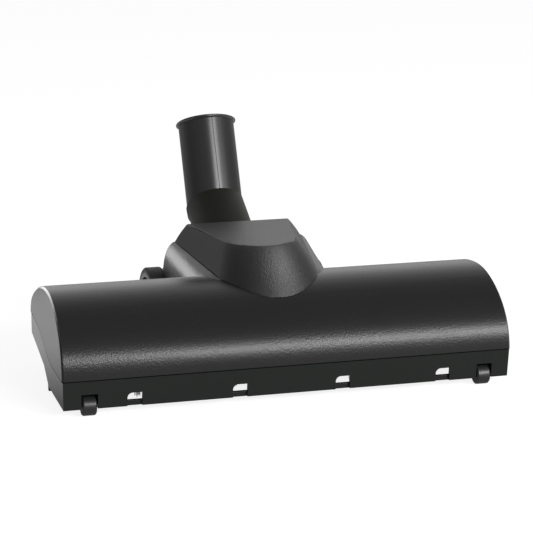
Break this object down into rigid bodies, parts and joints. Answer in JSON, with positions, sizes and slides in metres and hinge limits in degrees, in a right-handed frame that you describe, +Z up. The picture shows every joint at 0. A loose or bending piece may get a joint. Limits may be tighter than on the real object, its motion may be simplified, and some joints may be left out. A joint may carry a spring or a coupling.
{
  "type": "vacuum turbo brush",
  "caption": "Wide vacuum turbo brush with an air turbine under a hump, belt-driven bristle roll, side wheels and a tilting neck with a swivelling wand socket.",
  "frame": {"origin": "on the floor under the middle of the whole brush", "axes": "+X along the bristle roll to the right, +Y from the front edge to the neck, +Z up"},
  "size_m": [0.27, 0.2266, 0.1403],
  "materials": {
    "satin_black": "satin moulded",
    "matte_black": "fine-grained matte",
    "smooth_black": "smooth",
    "gloss_black": "glossy",
    "inner_grey": "plain moulded",
    "zinc_steel": "zinc plated",
    "belt_rubber": "ribbed rubber",
    "wheel_rubber": "soft tread",
    "bristle": "stiff nylon tufts"
  },
  "bodies": {
    "casing": {"top_shell": "satin_black", "turbine_cover": "matte_black", "base_shell": "satin_black", "sole_plate": "smooth_black", "casing_screws": "zinc_steel", "plate_screws": "zinc_steel", "turbine_casing": "inner_grey", "turbine_bearing_left": "zinc_steel", "turbine_bearing_right": "zinc_steel", "drive_belt": "belt_rubber", "roll_bush_left": "inner_grey", "roll_bush_right": "inner_grey", "front_axle_left": "zinc_steel", "front_axle_right": "zinc_steel", "rear_axle_left": "zinc_steel", "rear_axle_right": "zinc_steel"},
    "roll": {"brush_core": "smooth_black", "bristle_tufts": "bristle", "roll_axle": "zinc_steel", "roll_pulley": "inner_grey"},
    "turbine": {"impeller": "inner_grey", "turbine_shaft": "zinc_steel", "drive_pulley": "inner_grey"},
    "front_roller_left": {"front_wheel_left": "gloss_black"},
    "front_roller_right": {"front_wheel_right": "gloss_black"},
    "rear_roller_left": {"rear_wheel_left": "smooth_black", "rear_tyre_left": "wheel_rubber"},
    "rear_roller_right": {"rear_wheel_right": "smooth_black", "rear_tyre_right": "wheel_rubber"},
    "neck": {"elbow": "matte_black"},
    "tube": {"swivel_tube": "gloss_black"}
  },
  "joints": [
    {"name": "brush_spin", "type": "hinge", "parent": "casing", "child": "roll", "pos_m": [0, -0.08728, 0.0236], "axis": [1, 0, 0], "continuous": true},
    {"name": "turbine_spin", "type": "hinge", "parent": "casing", "child": "turbine", "pos_m": [0, -0.03228, 0.049], "axis": [1, 0, 0], "continuous": true},
    {"name": "front_left_spin", "type": "hinge", "parent": "casing", "child": "front_roller_left", "pos_m": [-0.1191, -0.10648, 0.006], "axis": [1, 0, 0], "continuous": true},
    {"name": "front_right_spin", "type": "hinge", "parent": "casing", "child": "front_roller_right", "pos_m": [0.1191, -0.10648, 0.006], "axis": [1, 0, 0], "continuous": true},
    {"name": "rear_left_spin", "type": "hinge", "parent": "casing", "child": "rear_roller_left", "pos_m": [-0.05155, 0.02422, 0.026], "axis": [1, 0, 0], "continuous": true},
    {"name": "rear_right_spin", "type": "hinge", "parent": "casing", "child": "rear_roller_right", "pos_m": [0.05155, 0.02422, 0.026], "axis": [1, 0, 0], "continuous": true},
    {"name": "neck_tilt", "type": "hinge", "parent": "casing", "child": "neck", "pos_m": [0, 0.02432, 0.0556], "axis": [-1, 0, 0], "range_deg": [-26, 30]},
    {"name": "tube_swivel", "type": "hinge", "parent": "neck", "child": "tube", "pos_m": [0, 0.07182, 0.08086], "axis": [0, 0.6947, 0.7193], "continuous": true}
  ],
  "couplings": [
    {"joint": "turbine_spin", "follows": "brush_spin", "ratio": 2.5}
  ]
}
